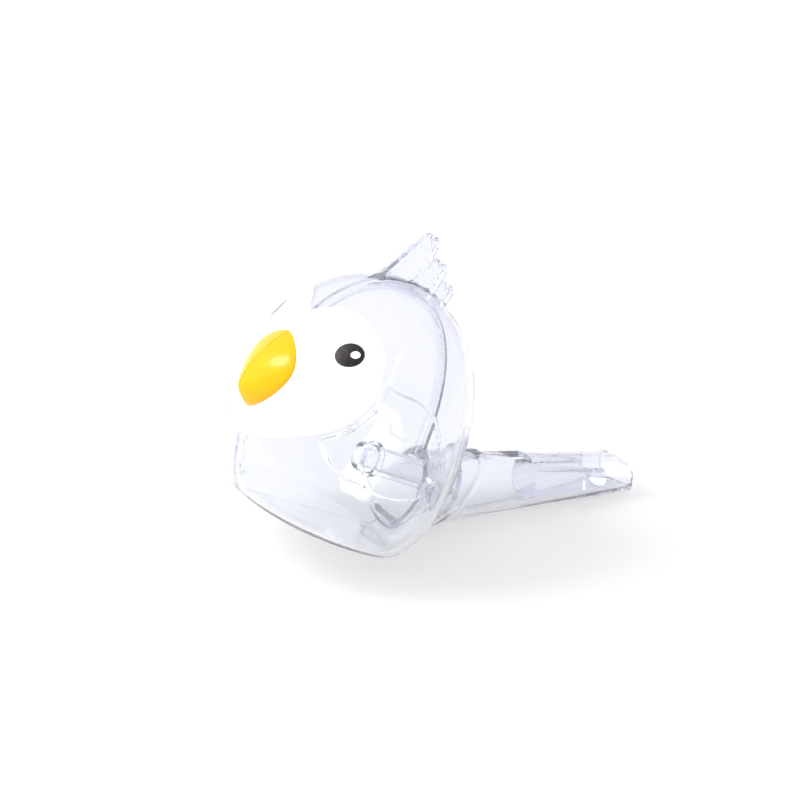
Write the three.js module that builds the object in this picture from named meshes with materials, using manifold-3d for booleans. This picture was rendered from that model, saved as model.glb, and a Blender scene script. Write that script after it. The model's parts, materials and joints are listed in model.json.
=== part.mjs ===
// Clear plastic bird water whistle, in millimetres.
//
// The bird is drawn in its own frame first: +X is where it looks, +Y is its left side, +Z is up
// through its crest, and its flat base lies in z = 0. At the end the whole bird is tipped back
// until it rests on the rear rim of the base and on the tip of its tail, which is how an empty
// whistle lies on a table, and it is centred over the origin of the part.

import * as THREE from 'three';
import { mergeVertices } from 'three/addons/utils/BufferGeometryUtils.js';
import Module from 'manifold-3d';

const wasm = await Module();
wasm.setup();

// ---------------------------------------------------------------- driving dimensions

const WALL = 1.5;                 // thickness of the moulded shells
const SEAM = 0.3;                 // gap between the two halves, on the median plane
const FIT = 0.3;                  // clearance round an insert held by the halves
const PAINT_GAP = 0.2;            // under a layer of paint
const PAINT = 0.3;                // thickness of a layer of paint

const BODY = { front: 26.5, rear: 21.3, side: 31.8, crown: 37.7, belly: 27.5, centreZ: 19.4 };
const BODY_POWER = 2.25;          // 2 is an ellipsoid, and more is boxier
const RIM_POWER = 26;             // how tightly the belly turns into the flat base
const BASE_TRIM = 0.05;           // the base is cut truly flat at this height
const BODY_AROUND = 44;           // facets round the body's side view
const BODY_ACROSS = 22;           // facets from its left side to its right side

const TAIL_START = new THREE.Vector3(-20, 0, 11.8);
const TAIL_RISE = 20.4;           // degrees above the bird's own -X
const TAIL_LENGTH = 58.5;         // from TAIL_START to the lip of the mouthpiece
// distance along the tail, half height, half width, and the power of its rounded section
const TAIL_SECTIONS = [
  { at: -4, high: 9.8, wide: 9.4, power: 2.0 },
  { at: 3, high: 9.4, wide: 8.8, power: 2.0 },
  { at: 11, high: 8.2, wide: 7.5, power: 2.1 },
  { at: 25, high: 7.0, wide: 7.0, power: 2.3 },
  { at: 42, high: 5.3, wide: 7.6, power: 2.7 },
  { at: 59, high: 3.7, wide: 8.1, power: 3.2 },
];

const TAIL_BEAD = { x: -32.2, z: 17, lean: -17, raised: 0.35, thick: 1.6 };
const WINDOW = { from: 27.5, to: 32, wide: 6 };            // the sound window in the tail's roof
const RAMP = { from: 20.5, wide: 7, edge: 0.7 };           // slopes down to the window's sharp edge
const PLUG = { from: 32, to: 51.5, windway: 1.7, channel: 9 };
const TUBE = { frontX: -5, rearX: -31, z: 16.5, outer: 3.3, inner: 1.9 };
const TUBE_COLLAR = { x: -8.6, radius: 4.2, thick: 1.4 };
const TUBE_FLANGE = { x: -29.2, thick: 1.6 };

const LIP = { reach: 1.5, root: 2.2, thick: 1.0 };         // tongue that locates the two halves
const GATE_RING = { x: -15.6, z: 16.3, outer: 3.1, inner: 1.9, from: 14.5 };

const CREST_THICK = 3.6;
const CREST_POCKET = 0.6;
// each feather: the middle of its root, its root half width, the middle of its tip and tip radius
const CREST_FEATHERS = [
  { root: [4.4, 52.5], half: 6.4, tip: [0.6, 66.7], radius: 2.4 },
  { root: [-1.6, 53.0], half: 3.4, tip: [-3.9, 62.2], radius: 2.3 },
  { root: [-5.6, 50.8], half: 3.2, tip: [-8.0, 58.2], radius: 2.0 },
];

// outlines on the left side: [x, z] seen from the side, [y, z] seen from the front
const WING_SIDE = [
  [19.6, 20.8], [16.5, 17.2], [11, 15.9], [3.5, 15.7], [-2.6, 17.8], [-4.8, 22.5],
  [-3.6, 28], [-0.2, 33.6], [5, 36.9], [9.8, 37], [11.2, 31], [15, 25],
];
const WING_RAISED = 0.9;
const PATCH_FRONT = [[8, 47.8], [15, 47.2], [21.5, 43.6], [25.5, 37], [26.4, 30.5], [23, 23.3], [12, 16.7]];
const PATCH_NOTCH_Z = 44;
const PATCH_CHIN_Z = 13.4;
const BEAK = { topZ: 38, bottomZ: 19.6, widestZ: 30.4, half: 9.8, fullestZ: 24, bulge: 4.4, rim: 0.5 };
const EYE = { y: 18.6, z: 39.5, long: 3.3, short: 2.75, roll: 20 };
const GLINT = { y: 19.5, z: 40.0, long: 1.1, short: 0.85, roll: 20 };

// ---------------------------------------------------------------- helpers

// Closed skin through a stack of rings of points, with a single point at each end.
function loft(rings, startPoint, endPoint) {
  const count = rings[0].length;
  const points = [startPoint, ...rings.flat(), endPoint];
  const last = points.length - 1;
  const faces = [];
  for (let i = 0; i < count; i++) {
    const j = (i + 1) % count;
    faces.push(0, 1 + j, 1 + i);
    for (let k = 0; k + 1 < rings.length; k++) {
      const a = 1 + k * count;
      const b = a + count;
      faces.push(a + i, a + j, b + j, a + i, b + j, b + i);
    }
    faces.push(last, last - count + i, last - count + j);
  }
  const geometry = new THREE.BufferGeometry().setFromPoints(points);
  geometry.setIndex(faces);
  return turnedOutwards(geometry);
}

function turnedOutwards(geometry) {
  const position = geometry.attributes.position;
  const index = geometry.index.array;
  const [a, b, c] = [new THREE.Vector3(), new THREE.Vector3(), new THREE.Vector3()];
  let volume = 0;
  for (let i = 0; i < index.length; i += 3) {
    a.fromBufferAttribute(position, index[i]);
    b.fromBufferAttribute(position, index[i + 1]);
    c.fromBufferAttribute(position, index[i + 2]);
    volume += a.dot(b.cross(c)) / 6;
  }
  if (volume < 0) {
    index.reverse();
  }
  return geometry;
}

function toSolid(geometry) {
  const bare = new THREE.BufferGeometry();
  bare.setAttribute('position', geometry.attributes.position);
  bare.setIndex(geometry.index);
  const merged = mergeVertices(bare, 1e-4);
  return new wasm.Manifold(new wasm.Mesh({
    numProp: 3,
    vertProperties: new Float32Array(merged.attributes.position.array),
    triVerts: new Uint32Array(merged.index.array),
  }));
}

function toGeometry(solid) {
  const mesh = solid.getMesh();
  const geometry = new THREE.BufferGeometry();
  geometry.setAttribute('position', new THREE.BufferAttribute(new Float32Array(mesh.vertProperties), 3));
  geometry.setIndex(new THREE.BufferAttribute(new Uint32Array(mesh.triVerts), 1));
  geometry.computeVertexNormals();
  return geometry;
}

function box(low, high) {
  const size = new THREE.Vector3().subVectors(high, low);
  const middle = new THREE.Vector3().addVectors(low, high).multiplyScalar(0.5);
  return toSolid(new THREE.BoxGeometry(size.x, size.y, size.z).translate(middle.x, middle.y, middle.z));
}

// A slab across the whole bird between two values of y.
function slab(fromY, toY) {
  return box(new THREE.Vector3(-120, fromY, -40), new THREE.Vector3(120, toY, 120));
}

// Everything above the height of the flat base.
function aboveBase(solid) {
  return solid.intersect(box(new THREE.Vector3(-120, -60, BASE_TRIM), new THREE.Vector3(120, 60, 120)));
}

// A ring or disc turned about the bird's X axis, at the tube's height.
function turnedAlongX(fromX, toX, radius, segments = 20) {
  const geometry = new THREE.CylinderGeometry(radius, radius, toX - fromX, segments);
  geometry.rotateZ(Math.PI / 2).translate((fromX + toX) / 2, 0, TUBE.z);
  return toSolid(geometry);
}

function splineThrough(points, closed, count) {
  const curve = new THREE.CatmullRomCurve3(points, closed, 'centripetal');
  const spaced = curve.getSpacedPoints(count);
  return closed ? spaced.slice(0, -1) : spaced;
}

// ---------------------------------------------------------------- the body's surface

const CENTRE = new THREE.Vector3(0, 0, BODY.centreZ);

// How many body radii a direction from CENTRE is long; 1 lies on the surface inset by `inset`.
function bodyGauge(direction, inset = 0) {
  const along = Math.abs(direction.x) / ((direction.x > 0 ? BODY.front : BODY.rear) - inset);
  const across = Math.abs(direction.y) / (BODY.side - inset);
  const up = Math.abs(direction.z) / ((direction.z > 0 ? BODY.crown : BODY.belly) - inset);
  const round = (along ** BODY_POWER + across ** BODY_POWER + up ** BODY_POWER) ** (1 / BODY_POWER);
  const flat = Math.max(0, -direction.z) / (BODY.centreZ - inset);
  return (round ** RIM_POWER + flat ** RIM_POWER) ** (1 / RIM_POWER);
}

// The point of the body's surface on the ray from CENTRE through `point`.
function onBody(point, inset = 0) {
  const direction = point.clone().sub(CENTRE);
  return direction.divideScalar(bodyGauge(direction, inset)).add(CENTRE);
}

function bodyNormal(point) {
  const step = 0.01;
  const gaugeAt = (x, y, z) => bodyGauge(new THREE.Vector3(point.x + x, point.y + y, point.z - BODY.centreZ + z));
  return new THREE.Vector3(
    gaugeAt(step, 0, 0) - gaugeAt(-step, 0, 0),
    gaugeAt(0, step, 0) - gaugeAt(0, -step, 0),
    gaugeAt(0, 0, step) - gaugeAt(0, 0, -step),
  ).normalize();
}

// Points of the body's round surface seen square from the side and from the front.
function fromSide(x, z, side) {
  const end = x > 0 ? BODY.front : BODY.rear;
  const height = z > BODY.centreZ ? BODY.crown : BODY.belly;
  const rest = 1 - (Math.abs(x) / end) ** BODY_POWER - (Math.abs(z - BODY.centreZ) / height) ** BODY_POWER;
  return new THREE.Vector3(x, side * BODY.side * Math.max(rest, 0) ** (1 / BODY_POWER), z);
}

function fromFront(y, z, side) {
  const height = z > BODY.centreZ ? BODY.crown : BODY.belly;
  const rest = 1 - (y / BODY.side) ** BODY_POWER - (Math.abs(z - BODY.centreZ) / height) ** BODY_POWER;
  return new THREE.Vector3(BODY.front * Math.max(rest, 0) ** (1 / BODY_POWER), side * y, z);
}

function bodySolid(inset) {
  const rings = [];
  for (let k = 1; k < BODY_ACROSS; k++) {
    const latitude = Math.PI * (k / BODY_ACROSS - 0.5);
    const ring = [];
    for (let i = 0; i < BODY_AROUND; i++) {
      const turn = (2 * Math.PI * i) / BODY_AROUND;
      const direction = new THREE.Vector3(
        Math.cos(latitude) * Math.cos(turn),
        Math.sin(latitude),
        Math.cos(latitude) * Math.sin(turn),
      );
      ring.push(onBody(direction.add(CENTRE), inset));
    }
    rings.push(ring);
  }
  const right = onBody(CENTRE.clone().add(new THREE.Vector3(0, -1, 0)), inset);
  const left = onBody(CENTRE.clone().add(new THREE.Vector3(0, 1, 0)), inset);
  return toSolid(loft(rings, right, left));
}

// A solid sheet that lies over the body inside `outline`, from `low` to `high(point)` above it.
function skinSheet(outline, middle, low, high, steps) {
  const layer = (heightAt) => {
    const rings = [];
    for (let k = 1; k <= steps; k++) {
      rings.push(outline.map((edge) => {
        const point = onBody(middle.clone().lerp(edge, k / steps));
        return point.clone().addScaledVector(bodyNormal(point), heightAt(point));
      }));
    }
    return rings;
  };
  const onMiddle = (heightAt) => {
    const point = onBody(middle);
    return point.clone().addScaledVector(bodyNormal(point), heightAt(point));
  };
  const under = layer(() => low);
  const over = layer(high);
  return loft([...under, ...over.reverse()], onMiddle(() => low), onMiddle(high));
}

// ---------------------------------------------------------------- the tail

const tailAngle = THREE.MathUtils.degToRad(TAIL_RISE);
const TAIL_ALONG = new THREE.Vector3(-Math.cos(tailAngle), 0, Math.sin(tailAngle));
const TAIL_UP = new THREE.Vector3(Math.sin(tailAngle), 0, Math.cos(tailAngle));

function tailPoint(along, across, up) {
  const point = TAIL_START.clone().addScaledVector(TAIL_ALONG, along).addScaledVector(TAIL_UP, up);
  return point.setY(across);
}

function tailSectionAt(along) {
  const last = TAIL_SECTIONS.length - 1;
  let k = 0;
  while (k < last - 1 && TAIL_SECTIONS[k + 1].at < along) {
    k++;
  }
  const [a, b] = [TAIL_SECTIONS[k], TAIL_SECTIONS[k + 1]];
  const t = (along - a.at) / (b.at - a.at);
  const mix = (key) => a[key] + (b[key] - a[key]) * t;
  return { high: mix('high'), wide: mix('wide'), power: mix('power') };
}

function tailRing(along, inset, count = 28) {
  const { high, wide, power } = tailSectionAt(along);
  const rounded = (value) => Math.sign(value) * Math.abs(value) ** (2 / power);
  const ring = [];
  for (let i = 0; i < count; i++) {
    const turn = (2 * Math.PI * (i + 0.5)) / count;
    ring.push(tailPoint(along, (wide - inset) * rounded(Math.cos(turn)), (high - inset) * rounded(Math.sin(turn))));
  }
  return ring;
}

function tailSolid(inset, from, to) {
  const stops = TAIL_SECTIONS.map((section) => section.at).filter((at) => at > from && at < to);
  const rings = [from, ...stops, to].map((along) => tailRing(along, inset));
  return toSolid(loft(rings, tailPoint(from, 0, 0), tailPoint(to, 0, 0)));
}

// A straight-sided block laid along the tail, from a floor that may slope to well above the roof.
function tailBlock(from, to, wide, floorAt) {
  const top = 15;
  const ring = (along) => [
    tailPoint(along, -wide / 2, floorAt(along)),
    tailPoint(along, wide / 2, floorAt(along)),
    tailPoint(along, wide / 2, top),
    tailPoint(along, -wide / 2, top),
  ];
  return toSolid(loft([ring(from), ring(to)], tailPoint(from, 0, top - 2), tailPoint(to, 0, top - 2)));
}

// A low ring round the tail near its root. It leans back from the tail's own section, and it is
// lifted by its own height, so that it is flush underneath and the tail still rests on its tip.
function tailBeadSolid() {
  const { x, z, lean, raised, thick } = TAIL_BEAD;
  const slice = box(new THREE.Vector3(-thick / 2, -20, -20), new THREE.Vector3(thick / 2, 20, 20));
  const fatter = tailSolid(-raised, 3, 30).translate(TAIL_UP.clone().multiplyScalar(raised).toArray());
  return fatter.intersect(slice.rotate([0, lean, 0]).translate([x, 0, z]));
}

// The sound window, and the ramp outside it that thins the roof to an edge for the breath to strike.
function windowCutter() {
  const roof = tailSectionAt(RAMP.from).high;
  const drop = (tailSectionAt(WINDOW.from).high - WALL + RAMP.edge - roof) / (WINDOW.from - RAMP.from);
  const ramp = tailBlock(RAMP.from, WINDOW.from + 0.1, RAMP.wide, (along) => roof + (along - RAMP.from) * drop);
  return tailBlock(WINDOW.from, WINDOW.to, WINDOW.wide, () => 0).add(ramp);
}

// ---------------------------------------------------------------- crest

function featherOutline({ root, half, tip, radius }, shrink) {
  const axis = new THREE.Vector2(tip[0] - root[0], tip[1] - root[1]).normalize();
  const side = new THREE.Vector2(axis.y, -axis.x);
  const place = (centre, along, across) => [
    centre[0] + axis.x * along + side.x * across,
    centre[1] + axis.y * along + side.y * across,
  ];
  const shape = new THREE.Shape();
  const belly = half * 0.62 + radius * 0.5;
  const midway = [(root[0] + tip[0]) / 2, (root[1] + tip[1]) / 2];
  shape.moveTo(...place(root, shrink * 3, half - shrink));
  shape.quadraticCurveTo(...place(midway, 0, belly - shrink), ...place(tip, 0, radius - shrink));
  for (let i = 1; i <= 6; i++) {
    const turn = (Math.PI * i) / 6;
    shape.lineTo(...place(tip, (radius - shrink) * Math.sin(turn), (radius - shrink) * Math.cos(turn)));
  }
  shape.quadraticCurveTo(...place(midway, 0, shrink - belly), ...place(root, shrink * 3, shrink - half));
  return shape;
}

// Feather outlines are drawn in the X-Z plane, so the extrusion is stood up along Y.
function featherSolid(feather, shrink, fromY, toY) {
  const geometry = new THREE.ExtrudeGeometry(featherOutline(feather, shrink), {
    depth: toY - fromY,
    bevelEnabled: false,
    curveSegments: 5,
  });
  geometry.rotateX(Math.PI / 2).translate(0, toY, 0);
  geometry.setIndex([...Array(geometry.attributes.position.count).keys()]);
  return toSolid(geometry);
}

function crestSolid() {
  let crest = null;
  for (const feather of CREST_FEATHERS) {
    const blade = featherSolid(feather, 0, -CREST_THICK / 2, CREST_THICK / 2);
    crest = crest ? crest.add(blade) : blade;
  }
  for (const feather of CREST_FEATHERS) {
    for (const side of [-1, 1]) {
      const outer = side * (CREST_THICK / 2 + 1);
      const floor = side * (CREST_THICK / 2 - CREST_POCKET);
      const pocket = featherSolid(feather, 1.0, Math.min(outer, floor), Math.max(outer, floor));
      crest = crest.subtract(pocket);
    }
  }
  return crest;
}

// ---------------------------------------------------------------- shells

function wingSolid(side) {
  const points = WING_SIDE.map(([x, z]) => fromSide(x, z, side));
  const outline = splineThrough(points, true, 30);
  return toSolid(skinSheet(outline, fromSide(7, 26, side), -WALL / 2, () => WING_RAISED, 4));
}

function hollowSolid() {
  return bodySolid(WALL).add(tailSolid(WALL, -3.9, TAIL_LENGTH + 4));
}

function lipSolid() {
  const tongue = bodySolid(WALL + FIT).subtract(bodySolid(WALL + FIT + LIP.thick));
  const root = bodySolid(WALL - FIT).subtract(bodySolid(WALL + FIT + LIP.thick));
  const whole = tongue.intersect(slab(-LIP.reach, LIP.root)).add(root.intersect(slab(SEAM / 2, LIP.root)));
  return whole.subtract(tailSolid(WALL - FIT, -4, 20));
}

// The raised ring inside the left half, round the place where the plastic was let in.
function gateRingSolid() {
  const bar = (radius) => {
    const geometry = new THREE.CylinderGeometry(radius, radius, 20, 16);
    return toSolid(geometry.translate(GATE_RING.x, GATE_RING.from + 10, GATE_RING.z));
  };
  return bar(GATE_RING.outer).subtract(bar(GATE_RING.inner)).intersect(bodySolid(WALL / 2));
}

function shellSolid(side) {
  const tail = tailSolid(0, -4, TAIL_LENGTH).add(tailBeadSolid());
  const outside = aboveBase(bodySolid(0)).add(tail).add(crestSolid()).add(wingSolid(side));
  const half = side > 0 ? slab(SEAM / 2, 60) : slab(-60, -SEAM / 2);
  const shell = outside.subtract(hollowSolid()).subtract(windowCutter()).intersect(half);
  return side > 0 ? shell.add(lipSolid()).add(gateRingSolid()) : shell;
}

// ---------------------------------------------------------------- inserts

function windwayPlugSolid() {
  const block = tailSolid(WALL + FIT, PLUG.from, PLUG.to);
  const floorAt = (along) => tailSectionAt(along).high - WALL - FIT - PLUG.windway;
  return block.subtract(tailBlock(PLUG.from - 1, PLUG.to + 1, PLUG.channel, floorAt));
}

function warbleTubeSolid() {
  const { frontX, rearX, outer, inner } = TUBE;
  const half = TUBE_COLLAR.thick / 2;
  const disc = turnedAlongX(TUBE_FLANGE.x - TUBE_FLANGE.thick / 2, TUBE_FLANGE.x + TUBE_FLANGE.thick / 2, 16, 12);
  const flange = disc.intersect(tailSolid(WALL + FIT, 0, 40));
  const collar = turnedAlongX(TUBE_COLLAR.x - half, TUBE_COLLAR.x + half, TUBE_COLLAR.radius);
  const bore = turnedAlongX(rearX - 1, frontX + 1, inner);
  return turnedAlongX(rearX, frontX, outer).add(flange).add(collar).subtract(bore);
}

// ---------------------------------------------------------------- painted layers

function facePatch(side) {
  const edge = SEAM / 2;
  const corners = [[edge, PATCH_NOTCH_Z], ...PATCH_FRONT, [edge, PATCH_CHIN_Z]];
  const round = splineThrough(corners.map(([y, z]) => fromFront(y, z, side)), false, 26);
  const seam = [];
  for (let i = 1; i < 8; i++) {
    seam.push(fromFront(edge, THREE.MathUtils.lerp(PATCH_CHIN_Z, PATCH_NOTCH_Z, i / 8), side));
  }
  const middle = fromFront(12, 31, side);
  return skinSheet([...round, ...seam], middle, PAINT_GAP, () => PAINT_GAP + PAINT, 5);
}

function beakHalfWidth(z) {
  const { topZ, bottomZ, widestZ, half } = BEAK;
  const t = z > widestZ ? (z - widestZ) / (topZ - widestZ) : (widestZ - z) / (widestZ - bottomZ);
  const sharpness = z > widestZ ? 1.9 : 1.7;
  return half * Math.max(1 - t ** sharpness, 0) ** 0.71;
}

function beakHalf(side) {
  const edge = SEAM / 2;
  const base = PAINT_GAP * 2 + PAINT;
  const { topZ, bottomZ, fullestZ, bulge, rim } = BEAK;
  const round = [];
  for (let i = 0; i <= 18; i++) {
    const z = (topZ + bottomZ) / 2 + ((topZ - bottomZ) / 2) * Math.cos((Math.PI * i) / 18);
    round.push(fromFront(Math.max(beakHalfWidth(z), edge), z, side));
  }
  const seam = [];
  for (let i = 1; i < 8; i++) {
    seam.push(fromFront(edge, THREE.MathUtils.lerp(bottomZ, topZ, i / 8), side));
  }
  const high = (point) => {
    const t = (point.z - fullestZ) / ((point.z > fullestZ ? topZ : bottomZ) - fullestZ);
    const across = Math.min(Math.abs(point.y) / Math.max(beakHalfWidth(point.z), 0.5), 1);
    const fall = Math.max(1 - across ** 1.25, 0) ** 0.8 * Math.max(1 - t ** 1.9, 0);
    return base + rim + (bulge - base - rim) * fall;
  };
  return skinSheet([...round, ...seam], fromFront(3.6, 29, side), base, high, 6);
}

// An oval dropped on the body near (y, z), turned by `roll` degrees in the surface.
function ovalOnBody({ y, z, long, short, roll }, side, low, high, count) {
  const middle = onBody(fromFront(y, z, side));
  const normal = bodyNormal(middle);
  const level = new THREE.Vector3(0, 0, 1).cross(normal).normalize().multiplyScalar(side);
  const upward = normal.clone().cross(level).multiplyScalar(side);
  const tilt = THREE.MathUtils.degToRad(roll);
  const outline = [];
  for (let i = 0; i < count; i++) {
    const turn = (2 * Math.PI * i) / count;
    const [u, v] = [long * Math.cos(turn), short * Math.sin(turn)];
    outline.push(middle.clone()
      .addScaledVector(level, u * Math.cos(tilt) - v * Math.sin(tilt))
      .addScaledVector(upward, u * Math.sin(tilt) + v * Math.cos(tilt)));
  }
  return skinSheet(outline, middle, low, () => high, 2);
}

// ---------------------------------------------------------------- materials

const clearPlastic = () => new THREE.MeshStandardMaterial({
  color: 0xe6e8fa, roughness: 0.05, metalness: 0, transparent: true, opacity: 0.35,
});
const paint = (color, roughness) => new THREE.MeshStandardMaterial({ color, roughness, metalness: 0 });

// ---------------------------------------------------------------- assembly

const bird = new THREE.Group();

function addPiece(name, geometry, material) {
  const mesh = new THREE.Mesh(geometry, material);
  mesh.name = name;
  bird.add(mesh);
}

const layer = (number) => PAINT_GAP + number * (PAINT + PAINT_GAP);

for (const [word, side] of [['left', 1], ['right', -1]]) {
  addPiece(`body_shell_${word}`, toGeometry(shellSolid(side)), clearPlastic());
  addPiece(`face_patch_${word}`, facePatch(side), paint(0xffffff, 0.35));
  addPiece(`beak_${word}`, beakHalf(side), paint(0xffdd00, 0.25));
  addPiece(`eye_${word}`, ovalOnBody(EYE, side, layer(1), layer(1) + PAINT, 20), paint(0x1c1c1f, 0.3));
  addPiece(`eye_glint_${word}`, ovalOnBody(GLINT, side, layer(2), layer(2) + PAINT, 12), paint(0xffffff, 0.3));
}
addPiece('windway_plug', toGeometry(windwayPlugSolid()), clearPlastic());
addPiece('warble_tube', toGeometry(warbleTubeSolid()), clearPlastic());

// Tip the bird back until the body and the tail tip are equally low.
function lowestAt(points, tilt) {
  return Math.min(...points.map((point) => point.x * Math.sin(tilt) + point.z * Math.cos(tilt)));
}

function restingTilt() {
  const position = bird.getObjectByName('body_shell_left').geometry.attributes.position;
  const points = [];
  for (let i = 0; i < position.count; i++) {
    points.push(new THREE.Vector3().fromBufferAttribute(position, i));
  }
  const tailPoints = points.filter((point) => point.x < -60);
  const bodyPoints = points.filter((point) => point.x > -25);
  let [low, high] = [0, Math.PI / 3];
  for (let i = 0; i < 40; i++) {
    const tilt = (low + high) / 2;
    if (lowestAt(tailPoints, tilt) > lowestAt(bodyPoints, tilt)) {
      low = tilt;
    } else {
      high = tilt;
    }
  }
  return (low + high) / 2;
}

bird.rotation.y = -restingTilt();

const whistle = new THREE.Group();
whistle.add(bird);
whistle.updateMatrixWorld(true);
const extent = new THREE.Box3().setFromObject(whistle, true);
const middle = extent.getCenter(new THREE.Vector3());
bird.position.set(-middle.x, -middle.y, -extent.min.z);

export default whistle;
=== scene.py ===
# %% [markdown]
# # A clear plastic bird water whistle
# The whistle is two clear moulded halves welded down the middle, a block and a tube held between
# them, and a painted face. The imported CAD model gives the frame: where the whistle lies, how far it
# is tipped back, and how large it is. This script builds the fine surfaces round that frame.

# %% Load the frame
import json
import math

import bpy
import numpy as np
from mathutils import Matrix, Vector


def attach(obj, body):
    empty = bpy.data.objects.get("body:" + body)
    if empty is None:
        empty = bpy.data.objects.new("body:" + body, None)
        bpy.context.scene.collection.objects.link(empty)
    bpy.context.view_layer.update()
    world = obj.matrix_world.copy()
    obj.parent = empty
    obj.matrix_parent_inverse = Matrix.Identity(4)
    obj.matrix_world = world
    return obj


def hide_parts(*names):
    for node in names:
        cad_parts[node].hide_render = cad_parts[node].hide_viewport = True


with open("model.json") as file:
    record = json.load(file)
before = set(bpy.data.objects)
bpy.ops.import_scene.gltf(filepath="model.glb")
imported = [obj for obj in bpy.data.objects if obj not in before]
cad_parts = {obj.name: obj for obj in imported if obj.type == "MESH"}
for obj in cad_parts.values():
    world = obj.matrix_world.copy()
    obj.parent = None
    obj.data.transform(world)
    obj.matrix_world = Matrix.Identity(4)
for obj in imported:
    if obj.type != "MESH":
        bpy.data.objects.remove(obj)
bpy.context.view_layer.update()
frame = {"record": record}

record = frame["record"]

# %% [markdown]
# ## The bird's own frame
# Shapes are simplest to describe in the bird's own upright frame: X ahead, Y to its left, Z up, in
# millimetres, with the flat base in z = 0. On the table the bird lies tipped back. The record's
# mount on the flat base tells how it is turned, so the turn is read from there.

# %% From the bird's frame to the table's
MM = 0.001
base_mount = next(m for m in record["mounts"] if m["name"] == "base_flat")
TILT = math.atan2(base_mount["axis"][0], -base_mount["axis"][2])
MOUNT_IN_BIRD = np.array([8.0, 8.0, 0.05])


def turn_back(points):
    """Turns points about Y from the upright bird to the tipped one."""
    x, y, z = points[..., 0], points[..., 1], points[..., 2]
    c, s = math.cos(TILT), math.sin(TILT)
    return np.stack([x * c - z * s, y, x * s + z * c], axis=-1)


ORIGIN_MM = np.array(base_mount["pos_m"]) / MM - turn_back(MOUNT_IN_BIRD)


def to_table(points):
    """Bird millimetres to table metres."""
    return (turn_back(np.asarray(points, float)) + ORIGIN_MM) * MM


def to_bird(points):
    """Table millimetres back to the bird's frame."""
    x, y, z = (points - ORIGIN_MM).T
    c, s = math.cos(TILT), math.sin(TILT)
    return np.stack([x * c + z * s, y, z * c - x * s], axis=-1)


print("tipped back by", round(math.degrees(TILT), 2), "degrees; bird origin at", ORIGIN_MM.round(2))

# %% [markdown]
# ## Driving dimensions
# Everything below is in millimetres in the bird's frame. The same few sizes shape the shells, the
# paint that lies on them and the pieces inside.

# %% Sizes
FRONT, REAR, SIDE, CROWN, BELLY = 26.5, 21.3, 31.8, 37.7, 27.5
CENTRE = np.array([0.0, 0.0, 19.4])
BODY_POWER, RIM_POWER = 2.25, 26.0
WALL = 1.5
SEAM_HALF = 0.04

TAIL_START = np.array([-20.0, 0.0, 11.8])
TAIL_RISE = math.radians(20.4)
TAIL_ALONG = np.array([-math.cos(TAIL_RISE), 0.0, math.sin(TAIL_RISE)])
TAIL_UP = np.array([math.sin(TAIL_RISE), 0.0, math.cos(TAIL_RISE)])
TAIL_LENGTH = 58.5
TAIL_AT = [-4, 3, 11, 25, 42, 59]
TAIL_HIGH = [9.8, 9.4, 8.2, 7.0, 5.3, 3.7]
TAIL_WIDE = [9.4, 8.8, 7.5, 7.0, 7.6, 8.1]
TAIL_POWER = [2.0, 2.0, 2.1, 2.3, 2.7, 3.2]

FEATHERS = [((4.4, 52.5), 6.4, (0.6, 66.7), 2.4),
            ((-1.6, 53.0), 3.4, (-3.9, 62.2), 2.3),
            ((-5.6, 50.8), 3.2, (-8.0, 58.2), 2.0)]
CREST_HALF = 1.8
WING_SIDE = [(20.6, 23.6), (19.6, 20.4), (16.5, 17), (11, 15.9), (3.5, 15.8), (-2.6, 18), (-4.8, 22.5),
             (-3.6, 28), (-0.2, 33.4), (4.6, 36.6), (10, 37), (14, 37.6), (17, 33), (20, 28)]
WING_RAISED = 0.9
PATCH = [(8, 47.8), (15, 47.2), (21.5, 43.6), (25.5, 37), (26.4, 30.5), (23, 23.3), (12, 16.7)]
NOTCH_Z, CHIN_Z = 44.0, 13.4

# %% [markdown]
# ## Shapes as distance fields
# The moulded halves blend into each other with soft fillets: crest into head, tail into body, wing
# into flank. A field that gives each point's distance to a surface makes such blends easy, because
# two fields join smoothly with one formula. A negative value is inside the plastic.

# %% Field helpers


def smooth_min(a, b, radius):
    """The union of two fields, with a fillet of about this radius."""
    h = np.clip(0.5 + 0.5 * (b - a) / radius, 0, 1)
    return b + (a - b) * h - radius * h * (1 - h)


def smooth_max(a, b, radius):
    """The overlap of two fields, with a rounded edge of about this radius."""
    return -smooth_min(-a, -b, radius)


def soft_step(value, low, high):
    """0 below low, 1 above high, with a smooth rise between."""
    t = np.clip((value - low) / (high - low), 0, 1)
    return t * t * (3 - 2 * t)


def eased(at, stations, values):
    """A smooth curve through a few stations (cubic Hermite)."""
    x, v = np.array(stations, float), np.array(values, float)
    slope = np.gradient(v, x)
    k = np.clip(np.searchsorted(x, at) - 1, 0, len(x) - 2)
    gap = x[k + 1] - x[k]
    t = np.clip((at - x[k]) / gap, 0, 1)
    keep, drop = (1 + 2 * t) * (1 - t) ** 2, t * t * (3 - 2 * t)
    lead, trail = t * (1 - t) ** 2 * gap, t * t * (t - 1) * gap
    return keep * v[k] + drop * v[k + 1] + lead * slope[k] + trail * slope[k + 1]


print("field helpers ready: fillets by smooth_min, stations by eased")

# %% [markdown]
# ## Body and tail
# The body is an egg with four different half axes and a slightly boxy power, cut by a flat base. Its
# gauge is 1 on the skin. The tail is a tube whose section changes from round to a flat mouthpiece, so
# its height, width and power are read from a few stations.

# %% Body and tail fields


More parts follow.
